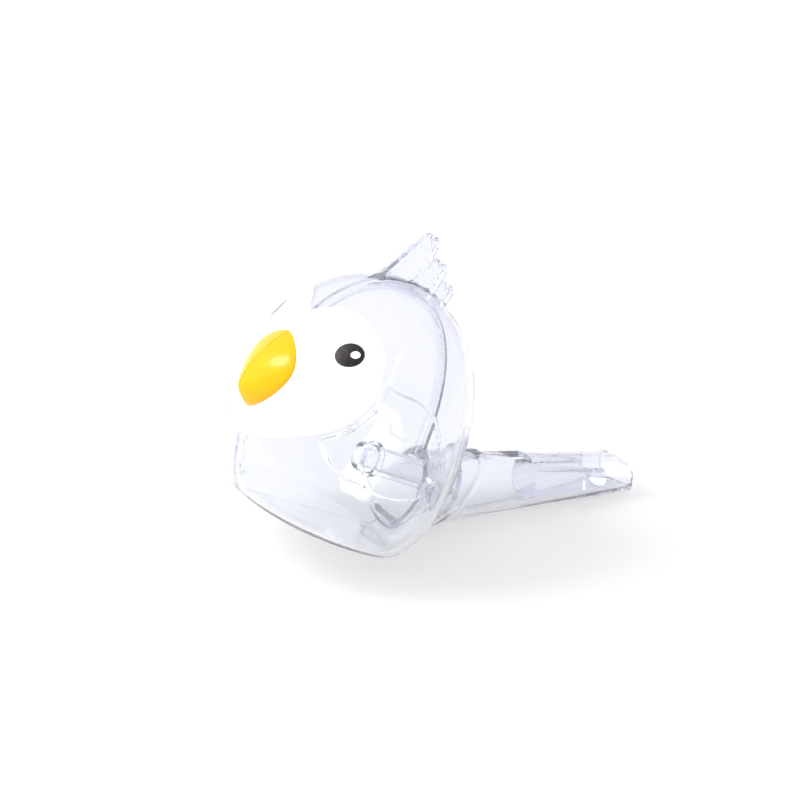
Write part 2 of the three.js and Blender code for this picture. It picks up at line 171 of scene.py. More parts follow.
def body_gauge(points):
    """1 on the body's surface, and its gradient's length and direction."""
    x, y, z = (points - CENTRE).T
    a = np.where(x > 0, FRONT, REAR)
    c = np.where(z > 0, CROWN, BELLY)
    u, v, w = np.abs(x) / a, np.abs(y) / SIDE, np.abs(z) / c
    rounded = np.maximum((u ** BODY_POWER + v ** BODY_POWER + w ** BODY_POWER) ** (1 / BODY_POWER), 1e-6)
    flat = np.maximum(-z, 0) / CENTRE[2]
    gauge = (rounded ** RIM_POWER + flat ** RIM_POWER) ** (1 / RIM_POWER)
    share = (rounded / gauge) ** (RIM_POWER - 1)
    p = BODY_POWER - 1
    gx = share * np.sign(x) * (u / rounded) ** p / a
    gy = share * np.sign(y) * (v / rounded) ** p / SIDE
    gz = share * np.sign(z) * (w / rounded) ** p / c - (flat / gauge) ** (RIM_POWER - 1) / CENTRE[2]
    return gauge, np.stack([gx, gy, gz], axis=-1)


def body_distance(points):
    gauge, gradient = body_gauge(points)
    return (gauge - 1) / np.linalg.norm(gradient, axis=-1)


def on_body(points):
    """Points and normals where rays from the body's centre leave its surface."""
    gauge, gradient = body_gauge(points)
    normal = gradient / np.linalg.norm(gradient, axis=-1, keepdims=True)
    return (points - CENTRE) / gauge[:, None] + CENTRE, normal


def tail_distance(points, inset=0.0):
    """Distance to the tail's side wall, without its ends, and the distance along it."""
    rel = points - TAIL_START
    along, up, across = rel @ TAIL_ALONG, np.abs(rel @ TAIL_UP), np.abs(points[:, 1])
    high = eased(along, TAIL_AT, TAIL_HIGH) - inset
    wide = eased(along, TAIL_AT, TAIL_WIDE) - inset
    power = eased(along, TAIL_AT, TAIL_POWER)
    u, v = across / wide, up / high
    gauge = np.maximum((u ** power + v ** power) ** (1 / power), 1e-4)
    slope = np.hypot((u / gauge) ** (power - 1) / wide, (v / gauge) ** (power - 1) / high)
    slope = np.maximum(slope, 0.02)
    return (gauge - 1) / slope, along


print("the crown is at z =", round(CENTRE[2] + CROWN, 1), "and the tail is", TAIL_LENGTH, "mm long")


# %% [markdown]
# ## Crest and wings
# Each crest feather is a tapered blade that leans back, with a shallow pocket inside a raised edge.
# The wing is a step of about a millimetre in the flank, inside a rounded outline.

# %% Feather and wing fields


def feather_field(points, root, root_half, tip, tip_radius):
    start, end = np.array(root), np.array(tip)
    axis = end - start
    rel = points[:, [0, 2]] - start
    t = np.clip(rel @ axis / (axis @ axis), 0, 1)
    reach = np.hypot(*(rel - t[:, None] * axis).T)
    flat = reach - (root_half + (tip_radius - root_half) * t ** 0.85)
    pocket = 0.55 * soft_step(-flat, 0.75, 1.25)
    return smooth_max(flat, np.abs(points[:, 1]) - CREST_HALF + pocket, 0.5)


def crest_field(points):
    crest = None
    for feather in FEATHERS:
        blade = feather_field(points, *feather)
        crest = blade if crest is None else smooth_min(crest, blade, 0.3)
    return crest


print("crest of", len(FEATHERS), "feathers,", 2 * CREST_HALF, "mm thick")

# %% Outlines through corners


def closed_spline(corners, steps):
    """A closed Catmull-Rom curve through the corners."""
    p = np.array(corners, float)
    before, after, later = np.roll(p, 1, 0), np.roll(p, -1, 0), np.roll(p, -2, 0)
    t = np.linspace(0, 1, steps, endpoint=False)[None, :, None]
    a, b, c, d = before[:, None], p[:, None], after[:, None], later[:, None]
    curve = 0.5 * (2 * b + (c - a) * t + (2 * a - 5 * b + 4 * c - d) * t ** 2
                   + (3 * b - a - 3 * c + d) * t ** 3)
    return curve.reshape(-1, p.shape[1])


def open_spline(corners, steps):
    """A Catmull-Rom curve that starts and ends on its first and last corners."""
    p = np.array(corners, float)
    p = np.concatenate([[2 * p[0] - p[1]], p, [2 * p[-1] - p[-2]]])
    t = np.linspace(0, 1, steps, endpoint=False)[None, :, None]
    a, b, c, d = p[:-3, None], p[1:-2, None], p[2:-1, None], p[3:, None]
    curve = 0.5 * (2 * b + (c - a) * t + (2 * a - 5 * b + 4 * c - d) * t ** 2
                   + (3 * b - a - 3 * c + d) * t ** 3)
    return np.concatenate([curve.reshape(-1, p.shape[1]), [corners[-1]]])


WING_OUTLINE = closed_spline(WING_SIDE, 7)
PATCH_OUTLINE = open_spline([(SEAM_HALF, NOTCH_Z), *PATCH, (SEAM_HALF, CHIN_Z)], 14)
print("wing outline", len(WING_OUTLINE), "points, face patch outline", len(PATCH_OUTLINE), "points")

# %% Wing step


def outline_distance(flat_points, outline):
    """Signed distance to a closed outline, negative inside."""
    best = np.full(len(flat_points), 1e9)
    inside = np.zeros(len(flat_points), bool)
    for a, b in zip(outline, np.roll(outline, -1, 0)):
        edge, rel = b - a, flat_points - a
        t = np.clip(rel @ edge / (edge @ edge), 0, 1)
        best = np.minimum(best, np.hypot(*(rel - t[:, None] * edge).T))
        crosses = (a[1] > flat_points[:, 1]) != (b[1] > flat_points[:, 1])
        where = a[0] + (flat_points[:, 1] - a[1]) * edge[0] / (edge[1] if edge[1] else 1e-9)
        inside ^= crosses & (flat_points[:, 0] < where)
    return np.where(inside, -best, best)


def wing_step(points, distance):
    """How far the wing lifts the skin at each point."""
    lift = np.zeros(len(points))
    near = (np.abs(distance) < 3) & (np.abs(points[:, 1]) > 12)
    close = points[near]
    inside = -outline_distance(close[:, [0, 2]], WING_OUTLINE)
    past_patch = outline_distance(np.abs(close[:, [1, 2]]), PATCH_OUTLINE)
    past_patch[close[:, 0] < 0] = 9
    lift[near] = WING_RAISED * soft_step(inside, -0.35, 0.45) * soft_step(past_patch, 0.2, 2.2)
    return lift


# %% [markdown]
# ## The moulded halves
# The outside is body, tail and crest joined with fillets; the hollow is the body and the tail's
# duct, one wall thickness in. The left half also has a thin tongue along the seam that reaches into
# the right half, and a small ring where the plastic entered the mould.

# %% Shell fields
WINDOW_FROM, WINDOW_TO, WINDOW_HALF = 27.5, 32.0, 3.0
RAMP_FROM, RAMP_HALF, RAMP_EDGE = 20.5, 3.5, 0.7
BEAD_AT, BEAD_LEAN, BEAD_RAISED, BEAD_HALF = np.array([-32.2, 0.0, 17.0]), math.radians(-17), 0.35, 0.8
GATE_X, GATE_Z, GATE_RADIUS = -15.6, 16.3, 2.5


def tail_bead(points):
    """The low ring round the tail near its root, leaning back from the tail's own section."""
    fatter, _ = tail_distance(points - BEAD_RAISED * TAIL_UP, -BEAD_RAISED)
    square = np.array([math.cos(BEAD_LEAN), 0.0, -math.sin(BEAD_LEAN)])
    return smooth_max(fatter, np.abs((points - BEAD_AT) @ square) - BEAD_HALF, 0.5)


def window_cut(points, along):
    """The sound window and the ramp that thins the roof to an edge beside it."""
    up = (points - TAIL_START) @ TAIL_UP
    y = np.abs(points[:, 1])
    middle, half = (WINDOW_FROM + WINDOW_TO) / 2, (WINDOW_TO - WINDOW_FROM) / 2
    window = np.maximum(np.maximum(np.abs(along - middle) - half, y - WINDOW_HALF), -up)
    roof, lip = np.interp([RAMP_FROM, WINDOW_FROM], TAIL_AT, TAIL_HIGH)
    slope = (lip - WALL + RAMP_EDGE - roof) / (WINDOW_FROM - RAMP_FROM)
    ramp = np.maximum(roof + slope * (along - RAMP_FROM) - up, y - RAMP_HALF)
    ramp = np.maximum(ramp, np.maximum(along - WINDOW_FROM - 0.2, RAMP_FROM - 1 - along))
    return np.minimum(window, ramp)


print("sound window", WINDOW_TO - WINDOW_FROM, "by", 2 * WINDOW_HALF, "mm")

# %% Fields of the two halves


def shell_field(points):
    body = body_distance(points)
    tail, along = tail_distance(points)
    duct, _ = tail_distance(points, WALL)
    tail = smooth_max(smooth_max(tail, along - TAIL_LENGTH, 0.5), -along - 4, 0.3)
    tail = smooth_min(tail, tail_bead(points), 0.3)
    outside = smooth_min(body - wing_step(points, body), tail, 1.3)
    outside = smooth_min(outside, crest_field(points), 0.9)
    hollow = smooth_min(body + WALL, smooth_max(duct, -along - 3.9, 0.3), 0.8)
    shell = smooth_max(outside, -hollow, 0.25)
    return smooth_max(shell, -window_cut(points, along), 0.2), body, duct


def left_field(points):
    shell, body, duct = shell_field(points)
    y = points[:, 1]
    inset = np.where(y < 0.1, 1.62, 1.3)
    tongue = np.maximum(np.maximum(body + inset, -(body + 2.5)), np.abs(y - 0.3) - 1.7)
    tongue = np.maximum(tongue, 0.4 - duct)
    ring = np.abs(np.hypot(points[:, 0] - GATE_X, points[:, 2] - GATE_Z) - GATE_RADIUS) - 0.55
    ring = np.maximum(np.maximum(ring, body + 1.3), np.maximum(-(body + 2.6), 5 - y))
    half = np.maximum(shell, SEAM_HALF - y)
    return smooth_min(half, np.minimum(tongue, ring), 0.15)


def right_field(points):
    shell, _, _ = shell_field(points)
    return np.maximum(shell, points[:, 1] + SEAM_HALF)


# %% [markdown]
# ## From a field to a mesh
# Dual contouring lays a grid through the field and puts one vertex in each cell that the surface
# crosses, at the point that best fits the surface's tangent planes there. So flat faces stay flat and
# edges stay crisp, which marching cubes would round off. Afterwards each vertex in a smooth area
# slides onto the exact surface, because clear plastic shows every ripple.

# %% Normals of a field


def field_normals(field, points, step=0.02):
    normal = np.empty_like(points)
    for axis in range(3):
        shift = np.zeros(3)
        shift[axis] = step
        normal[:, axis] = field(points + shift) - field(points - shift)
    return normal / np.maximum(np.linalg.norm(normal, axis=1, keepdims=True), 1e-9)


# %% Dual contouring


def contour(field, low, high, cell):
    """Vertices and quads of the field's zero surface inside the box."""
    low = np.array(low, float)
    count = np.ceil((np.array(high) - low) / cell).astype(int) + 1
    axes = [low[i] + cell * np.arange(count[i]) for i in range(3)]
    corners = np.stack(np.meshgrid(*axes, indexing="ij"), axis=-1).reshape(-1, 3)
    value = np.concatenate([field(part) for part in np.array_split(corners, 8)]).reshape(count)
    cell_id = lambda idx: (idx[:, 0] * count[1] + idx[:, 1]) * count[2] + idx[:, 2]
    crossing, normals, rings, flips = [], [], [], []
    for axis in range(3):
        ahead = np.take(value, range(1, count[axis]), axis)
        behind = np.take(value, range(count[axis] - 1), axis)
        idx = np.argwhere((ahead < 0) != (behind < 0))
        others = [i for i in range(3) if i != axis]
        idx = idx[(idx[:, others] > 0).all(1)]
        v0, v1 = behind[tuple(idx.T)], ahead[tuple(idx.T)]
        start, span = low + cell * idx, np.eye(3)[axis] * cell
        t = v0 / (v0 - v1)
        middle = field(start + t[:, None] * span)
        left = (middle < 0) == (v0 < 0)
        a, fa = np.where(left, t, 0), np.where(left, middle, v0)
        b, fb = np.where(left, 1, t), np.where(left, v1, middle)
        t = np.where(np.abs(fa - fb) > 1e-12, a + (b - a) * fa / (fa - fb + 1e-15), t)
        point = start + np.clip(t, 0, 1)[:, None] * span
        crossing.append(point)
        normals.append(field_normals(field, point))
        steps = [np.zeros(3, int), -np.eye(3, dtype=int)[others[0]],
                 -np.eye(3, dtype=int)[others[0]] - np.eye(3, dtype=int)[others[1]],
                 -np.eye(3, dtype=int)[others[1]]]
        rings.append(np.stack([cell_id(idx + s) for s in steps], axis=1))
        flips.append((v0 < 0) if axis != 1 else (v0 >= 0))
    crossing, normals = np.concatenate(crossing), np.concatenate(normals)
    rings, flips = np.concatenate(rings), np.concatenate(flips)
    used, cell_of = np.unique(rings, return_inverse=True)
    cell_of = cell_of.reshape(rings.shape)
    total = len(used)
    gather = lambda w: sum(np.bincount(cell_of[:, k], w, total) for k in range(4))
    hits = gather(np.ones(len(rings)))
    centre = np.stack([gather(crossing[:, i]) for i in range(3)], axis=1) / hits[:, None]
    lean = np.stack([gather(normals[:, i]) for i in range(3)], axis=1) / hits[:, None]
    plane = (normals * crossing).sum(1)
    matrix = np.empty((total, 3, 3))
    for i in range(3):
        for j in range(i, 3):
            matrix[:, i, j] = matrix[:, j, i] = gather(normals[:, i] * normals[:, j])
    target = np.stack([gather(normals[:, i] * plane) for i in range(3)], axis=1)
    target -= np.einsum("nij,nj->ni", matrix, centre)
    move = np.linalg.solve(matrix + 0.08 * np.eye(3), target[:, :, None])[:, :, 0]
    vertices = centre + np.clip(move, -cell, cell)
    smooth = np.linalg.norm(lean, axis=1) > 0.985
    for _ in range(2):
        inner = vertices[smooth]
        normal = field_normals(field, inner)
        vertices[smooth] = inner - np.clip(field(inner), -0.2, 0.2)[:, None] * normal
    quads = np.where(flips[:, None], cell_of, cell_of[:, ::-1])
    return vertices, quads


# %% Building an object from points and faces


def new_piece(name, vertices, faces, material, slot_name, replaced, sharp_angle=35.0):
    """A finished piece: bird millimetres in, an object in the table's frame out."""
    mesh = bpy.data.meshes.new(name)
    mesh.from_pydata(to_table(vertices).tolist(), [], [list(map(int, face)) for face in faces])
    mesh.shade_smooth()
    mesh.set_sharp_from_angle(angle=math.radians(sharp_angle))
    mesh.materials.append(material)
    piece = bpy.data.objects.new(name, mesh)
    bpy.context.scene.collection.objects.link(piece)
    declare(piece, replaced)
    return piece


def declare(piece, replaced):
    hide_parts(replaced)
    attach(piece, "root")
    print(piece.name, len(piece.data.vertices), "vertices", len(piece.data.polygons), "faces")


# %% [markdown]
# ## Clear plastic
# A clear moulding shows its edges because it bends light. Hard clear plastics bend it by 1.5 to 1.6,
# but here that draws every hidden wall in hard dark lines. So the shells get 1.45 and the inserts only
# 1.2: these are choices for the look, and a physically exact render would need the real values. The
# tint is weak and a little blue, and adds up only where light crosses many walls. A twentieth of the
# light is scattered, as by fine haze. Mouldings are never optically flat: slow waves from the mould
# and fine scuffs from handling go into the bump and the roughness.

# %% Material helpers


def new_material(name):
    material = bpy.data.materials.new(name)
    material.use_nodes = True
    nodes = material.node_tree.nodes
    return material, nodes, material.node_tree.links, nodes["Principled BSDF"]


def noise(nodes, links, scale, detail=3.0, roughness=0.5):
    place = nodes.new("ShaderNodeTexCoord")
    texture = nodes.new("ShaderNodeTexNoise")
    texture.inputs["Scale"].default_value = scale
    texture.inputs["Detail"].default_value = detail
    texture.inputs["Roughness"].default_value = roughness
    links.new(place.outputs["Object"], texture.inputs["Vector"])
    return texture.outputs["Fac"]


def map_range(nodes, links, source, low, high, to_low, to_high):
    node = nodes.new("ShaderNodeMapRange")
    for key, value in (("From Min", low), ("From Max", high), ("To Min", to_low), ("To Max", to_high)):
        node.inputs[key].default_value = value
    links.new(source, node.inputs["Value"])
    return node.outputs["Result"]


def add_bump(nodes, links, shader, height, strength, distance):
    bump = nodes.new("ShaderNodeBump")
    bump.inputs["Strength"].default_value = strength
    bump.inputs["Distance"].default_value = distance
    links.new(height, bump.inputs["Height"])
    links.new(bump.outputs["Normal"], shader.inputs["Normal"])


def clear_plastic(name, tint, haze, bend):
    material, nodes, links, shader = new_material(name)
    shader.inputs["Base Color"].default_value = (*tint, 1)
    shader.inputs["Transmission Weight"].default_value = 0.945
    shader.inputs["IOR"].default_value = bend
    scuffs = noise(nodes, links, 900, 6.0, 0.7)
    links.new(map_range(nodes, links, scuffs, 0.45, 0.75, 0.0, haze), shader.inputs["Roughness"])
    waves = noise(nodes, links, 85, 1.0)
    add_bump(nodes, links, shader, waves, 0.12, 0.0008)
    return material


# %% Clear plastics
CLEAR_SHELL = clear_plastic("clear_shell_plastic", (0.95, 0.96, 0.99), 0.10, 1.45)
CLEAR_INSERT = clear_plastic("clear_insert_plastic", (0.96, 0.967, 0.99), 0.14, 1.2)


def weld_material():
    """The seam's faces: an index of 1 lets light through as if the halves were one solid."""
    material, nodes, links, shader = new_material("welded_seam")
    shader.inputs["Base Color"].default_value = (0.93, 0.94, 0.99, 1)
    shader.inputs["Transmission Weight"].default_value = 0.97
    shader.inputs["IOR"].default_value = 1.0
    bubbles = noise(nodes, links, 700, 3.0)
    links.new(map_range(nodes, links, bubbles, 0.3, 0.7, 0.0, 0.2), shader.inputs["Roughness"])
    return material


WELD = weld_material()
print("clear finishes:", [m.name for m in (CLEAR_SHELL, CLEAR_INSERT, WELD)])

# %% Make the two halves
CELL = 0.5
LOW, HIGH = (-77.17, -2.3, -1.31), (28.6, 34.0, 70.6)


def welded_half(name, field, low, high, replaced):
    """One half, with the weld's finish on its seam faces and on the tongue past the seam."""
    vertices, quads = contour(field, low, high, CELL)
    half = new_piece(name, vertices, quads, CLEAR_SHELL, "clear_shell", replaced)
    y = vertices[:, 1]
    on_seam = np.abs(np.abs(y) - SEAM_HALF) < 0.02
    on_tongue = (y < SEAM_HALF) if replaced == "body_shell_left" else on_seam
    welded = (on_seam | on_tongue)[quads].all(axis=1)
    half.data.materials.append(WELD)
    half.data.polygons.foreach_set("material_index", welded.astype(np.int32))
    print(name, "has", int(welded.sum()), "faces on the weld")


welded_half("left_half", left_field, LOW, HIGH, "body_shell_left")
RIGHT_LOW, RIGHT_HIGH = (LOW[0], -HIGH[1], LOW[2]), (HIGH[0], 1.2, HIGH[2])
welded_half("right_half", right_field, RIGHT_LOW, RIGHT_HIGH, "body_shell_right")

# %% [markdown]
# ## The windway plug
# A block fills the tail's duct from near the mouthpiece to the sound window. A shallow channel along
# its top is the windway: the breath leaves it as a thin sheet and strikes the window's far edge.

# %% Windway plug
PLUG_FROM, PLUG_TO, WINDWAY, CHANNEL_HALF = 32.0, 51.5, 1.7, 4.5


def plug_field(points):
    side, along = tail_distance(points, WALL + 0.08)
    block = smooth_max(side, np.abs(along - (PLUG_FROM + PLUG_TO) / 2) - (PLUG_TO - PLUG_FROM) / 2, 0.4)
    up = (points - TAIL_START) @ TAIL_UP
    roof = eased(along, TAIL_AT, TAIL_HIGH) - WALL
    channel = smooth_max(np.abs(points[:, 1]) - CHANNEL_HALF, roof - WINDWAY - up, 0.4)
    return smooth_max(block, -channel, 0.3)


vertices, quads = contour(plug_field, (-75.0, -8.0, 15.0), (-45.0, 8.0, 37.0), 0.4)
new_piece("tail_plug", vertices, quads, CLEAR_INSERT, "clear_insert", "windway_plug")

# %% [markdown]
# ## The warble tube
# A tube carries the air column from the tail into the water. Its collar stiffens the open end and its
# flange closes the duct. The tube is round, so it follows a rule: one profile turned about an axis. A
# Geometry Nodes tree does the turning. It bends a flat grid into rings, and reads each ring's radius
# from the profile, so the steps can be changed without touching the profile.

# %% Helpers for Geometry Nodes trees


def new_tree(name, sizes):
    """An empty tree with named inputs, and its group input and output nodes."""
    tree = bpy.data.node_groups.new(name, "GeometryNodeTree")
    tree.interface.new_socket("Geometry", in_out="INPUT", socket_type="NodeSocketGeometry")
    for word, kind in sizes:
        tree.interface.new_socket(word, in_out="INPUT", socket_type="NodeSocket" + kind)
    tree.interface.new_socket("Geometry", in_out="OUTPUT", socket_type="NodeSocketGeometry")
    return tree, tree.nodes.new("NodeGroupInput").outputs, tree.nodes.new("NodeGroupOutput").inputs


def add_node(tree, kind, fed=(), **settings):
    """A node with its settings, and its inputs fed by values or by other nodes' sockets."""
    node = tree.nodes.new(kind)
    for word, value in settings.items():
        setattr(node, word, value)
    for key, source in dict(fed).items():
        if isinstance(source, bpy.types.NodeSocket):
            tree.links.new(source, node.inputs[key])
        else:
            node.inputs[key].default_value = source
    return node.outputs


def combine(tree, operation, a, b, c=None):
    """A Math node on two or three values."""
    fed = {0: a, 1: b} if c is None else {0: a, 1: b, 2: c}
    return add_node(tree, "ShaderNodeMath", fed, operation=operation)[0]


# %% Helpers that a tree starts and ends with


def polar_grid(tree, rings, spokes):
    """A flat grid, with how far out and how far round each of its points is to go."""
    grid = add_node(tree, "GeometryNodeMeshGrid",
                    {"Size X": 1.0, "Size Y": 1.0, "Vertices X": rings, "Vertices Y": spokes})
    place = add_node(tree, "ShaderNodeSeparateXYZ", {0: add_node(tree, "GeometryNodeInputPosition")[0]})
    far = combine(tree, "ADD", place[0], 0.5)
    turn = combine(tree, "MULTIPLY_ADD", place[1], 2 * math.pi, math.pi)
    return grid["Mesh"], far, combine(tree, "COSINE", turn, 0), combine(tree, "SINE", turn, 0)


def finish_tree(tree, solid, material, outputs):
    merged = add_node(tree, "GeometryNodeMergeByDistance", {"Geometry": solid, "Distance": 0.002})
    real = add_node(tree, "GeometryNodeRealizeInstances", {0: merged[0]})
    coated = add_node(tree, "GeometryNodeSetMaterial", {"Geometry": real[0], "Material": material})
    tree.links.new(coated[0], outputs[0])


def run_tree(tree, start_mesh, values):
    """Points and faces that the tree makes from the start mesh with these values."""
    holder = bpy.data.objects.new("holder", start_mesh)
    bpy.context.scene.collection.objects.link(holder)
    modifier = holder.modifiers.new("shape", "NODES")
    modifier.node_group = tree
    for socket in tree.interface.items_tree:
        if socket.in_out == "INPUT" and socket.name in values:
            modifier[socket.identifier] = values[socket.name]
    made = bpy.data.meshes.new_from_object(holder.evaluated_get(bpy.context.evaluated_depsgraph_get()))
    points = np.array([tuple(v.co) for v in made.vertices])
    faces = [list(face.vertices) for face in made.polygons]
    bpy.data.objects.remove(holder)
    bpy.data.meshes.remove(made)
    return points, outward(points, faces)


def outward(vertices, faces):
    """The faces, turned round if the solid's volume comes out negative."""
    volume = 0.0
    for face in faces:
        a = vertices[face[0]]
        for k in range(1, len(face) - 1):
            volume += np.dot(a, np.cross(vertices[face[k]], vertices[face[k + 1]]))
    return faces if volume > 0 else [face[::-1] for face in faces]


# %% Warble tube sizes and the tree that turns it
TUBE_FRONT, TUBE_REAR, TUBE_Z, TUBE_OUTER, TUBE_BORE = -5.0, -31.0, 16.5, 3.3, 1.9
COLLAR_AT, COLLAR_RADIUS, COLLAR_HALF = -8.6, 4.2, 0.7
FLANGE_AT, FLANGE_HALF = -29.2, 0.8


def revolve_tree():
    tree, given, outputs = new_tree("revolved_tube", [("Steps along", "Int"), ("Steps round", "Int"),
                                                      ("Axis height", "Float")])
    grid, far, cosine, sine = polar_grid(tree, given["Steps along"], given["Steps round"])
    profile = add_node(tree, "GeometryNodeMeshToCurve", {"Mesh": given["Geometry"]})
    ring = add_node(tree, "GeometryNodeSampleCurve", {"Curves": profile[0], "Factor": far}, mode="FACTOR")
    along, radius, _ = add_node(tree, "ShaderNodeSeparateXYZ", {0: ring["Position"]})
    point = add_node(tree, "ShaderNodeCombineXYZ", {
        "X": along, "Y": combine(tree, "MULTIPLY", radius, cosine),
        "Z": combine(tree, "MULTIPLY_ADD", radius, sine, given["Axis height"])})
    bent = add_node(tree, "GeometryNodeSetPosition", {"Geometry": grid, "Position": point[0]})
    finish_tree(tree, bent[0], CLEAR_INSERT, outputs)
    return tree


# %% Profile and flange


def tube_profile(rounding=0.25):
    """Half of the tube's section as a closed line of points, with its corners rounded."""
    corners = [(TUBE_REAR, TUBE_BORE), (TUBE_FRONT, TUBE_BORE), (TUBE_FRONT, TUBE_OUTER),
               (COLLAR_AT + COLLAR_HALF, TUBE_OUTER), (COLLAR_AT + COLLAR_HALF, COLLAR_RADIUS),
               (COLLAR_AT - COLLAR_HALF, COLLAR_RADIUS), (COLLAR_AT - COLLAR_HALF, TUBE_OUTER),
               (TUBE_REAR, TUBE_OUTER)]
    line = []
    for k, corner in enumerate(corners):
        corner = np.array(corner)
        back, ahead = np.array(corners[k - 1]) - corner, np.array(corners[(k + 1) % len(corners)]) - corner
        start = corner + back / np.linalg.norm(back) * rounding
        end = corner + ahead / np.linalg.norm(ahead) * rounding
        line += [(1 - t) ** 2 * start + 2 * t * (1 - t) * corner + t * t * end for t in np.linspace(0, 1, 6)]
    mesh = bpy.data.meshes.new("tube_profile")
    count = len(line)
    mesh.from_pydata([(x, r, 0.0) for x, r in line], [(k, (k + 1) % count) for k in range(count)], [])
    return mesh


def flange_field(points):
    radius = np.hypot(points[:, 1], points[:, 2] - TUBE_Z)
    duct, _ = tail_distance(points, WALL + 0.1)
    plate = smooth_max(duct, np.abs(points[:, 0] - FLANGE_AT) - FLANGE_HALF, 0.3)
    return smooth_max(plate, TUBE_OUTER + 0.02 - radius, 0.1)


# %% Make the tube
tube, tube_faces = run_tree(revolve_tree(), tube_profile(),
                            {"Steps along": 420, "Steps round": 73, "Axis height": TUBE_Z})
flange, flange_faces = contour(flange_field, (-36.0, -9.0, 6.0), (-26.0, 9.0, 26.0), 0.35)
together = tube_faces + [list(face + len(tube)) for face in flange_faces]
new_piece("sound_tube", np.concatenate([tube, flange]), together, CLEAR_INSERT, "clear_insert", "warble_tube")

# %% [markdown]
# ## Painted face
# The white heart-shaped face is a film of paint on each half, with a notch where the two meet over
# the beak. It is drawn from the front, dropped on the body's surface and given its thickness.

# %% Paint material and sheets on the body


def paint(name, color, roughness, speckle, coat=0.0, gloss=0.5):
    """Paint with faint mottling in its colour, roughness and surface."""
    material, nodes, links, shader = new_material(name)
    shader.inputs["Specular IOR Level"].default_value = gloss
    mottle = nodes.new("ShaderNodeMix")
    mottle.data_type = "RGBA"
    mottle.inputs["A"].default_value = (*color, 1)
    mottle.inputs["B"].default_value = (*speckle, 1)
    grain = map_range(nodes, links, noise(nodes, links, 1400, 5.0, 0.65), 0.5, 0.72, 0.0, 1.0)
    links.new(grain, mottle.inputs["Factor"])
    links.new(mottle.outputs["Result"], shader.inputs["Base Color"])
    cloud = noise(nodes, links, 160, 3.0)
    uneven = map_range(nodes, links, cloud, 0.3, 0.7, roughness * 0.8, roughness * 1.25)
    links.new(uneven, shader.inputs["Roughness"])
    shader.inputs["Coat Weight"].default_value = coat
    shader.inputs["Coat Roughness"].default_value = 0.08
    add_bump(nodes, links, shader, noise(nodes, links, 420, 2.0), 0.1, 0.0003)
    return material


# %% Sheets that lie on the body


def front_points(y, z, side):
    """Points of the body's surface seen square from the front."""
    y, z = np.broadcast_arrays(np.asarray(y, float), np.asarray(z, float))
    height = np.where(z > CENTRE[2], CROWN, BELLY)
    rest = 1 - (np.abs(y) / SIDE) ** BODY_POWER - (np.abs(z - CENTRE[2]) / height) ** BODY_POWER
    return np.stack([FRONT * np.maximum(rest, 0) ** (1 / BODY_POWER), side * y, z], axis=-1)


def disc_sheet(outline, middle, low, high, rings):
    """A closed sheet over the body inside an outline; high is a function of the points."""
    count = len(outline)
    t = (np.arange(1, rings + 1) / rings)[:, None, None]
    flat = np.concatenate([middle[None], (middle + (outline - middle) * t).reshape(-1, 3)])
    base, normal = on_body(flat)
    under, over = base + normal * low, base + normal * high(base)[:, None]
    shift = len(flat)
    i = np.arange(count)
    j = (i + 1) % count
    faces = []
    for k in range(rings - 1):
        a, b = 1 + k * count, 1 + (k + 1) * count
        faces += np.stack([b + i, b + j, a + j, a + i], 1).tolist()
        faces += (shift + np.stack([a + i, a + j, b + j, b + i], 1)).tolist()
    edge = 1 + (rings - 1) * count
    faces += np.stack([edge + j, edge + i, shift + edge + i, shift + edge + j], 1).tolist()
    faces += np.stack([np.zeros(count, int), 1 + i, 1 + j], 1).tolist()
    faces += (shift + np.stack([np.zeros(count, int), 1 + j, 1 + i], 1)).tolist()
    vertices = np.concatenate([under, over])
    return vertices, outward(vertices, faces)


# %% Make the face patches
WHITE = paint("white_face_paint", (0.93, 0.93, 0.935), 0.28, (0.915, 0.915, 0.92), coat=0.3)
FILM_LOW, FILM_HIGH = 0.03, 0.16


def face_patch(side, name, replaced):
    seam_z = np.linspace(CHIN_Z, NOTCH_Z, 42)[1:-1]
    outline = np.concatenate([front_points(PATCH_OUTLINE[:, 0], PATCH_OUTLINE[:, 1], side),
                              front_points(SEAM_HALF, seam_z, side)])
    middle = front_points(12.0, 31.0, side)
    sheet = disc_sheet(outline, middle, FILM_LOW, lambda p: np.full(len(p), FILM_HIGH), 26)
    return new_piece(name, *sheet, WHITE, "white_paint", replaced)


face_patch(1, "left_face", "face_patch_left")
face_patch(-1, "right_face", "face_patch_right")

# %% [markdown]
# ## The beak
# A lemon-shaped bulge, widest a little above its middle, fullest below it, and parted where the halves
# meet. It is built as two halves that dome up from the face and are rolled over at the parting line.

# %% Beak
BEAK_TOP, BEAK_BOTTOM, BEAK_WIDEST, BEAK_FULLEST, BEAK_HALF, BEAK_BULGE = 38.0, 19.6, 30.4, 24.0, 9.8, 4.4
YELLOW = paint("yellow_beak_paint", (0.98, 0.49, 0.0), 0.17, (0.98, 0.45, 0.0), gloss=0.3)


def beak_half_width(z):
    above = z > BEAK_WIDEST
    up, down = (z - BEAK_WIDEST) / (BEAK_TOP - BEAK_WIDEST), (BEAK_WIDEST - z) / (BEAK_WIDEST - BEAK_BOTTOM)
    t = np.where(above, up, down)
    return BEAK_HALF * np.maximum(1 - np.clip(t, 0, 1) ** np.where(above, 1.9, 1.7), 0) ** 0.71


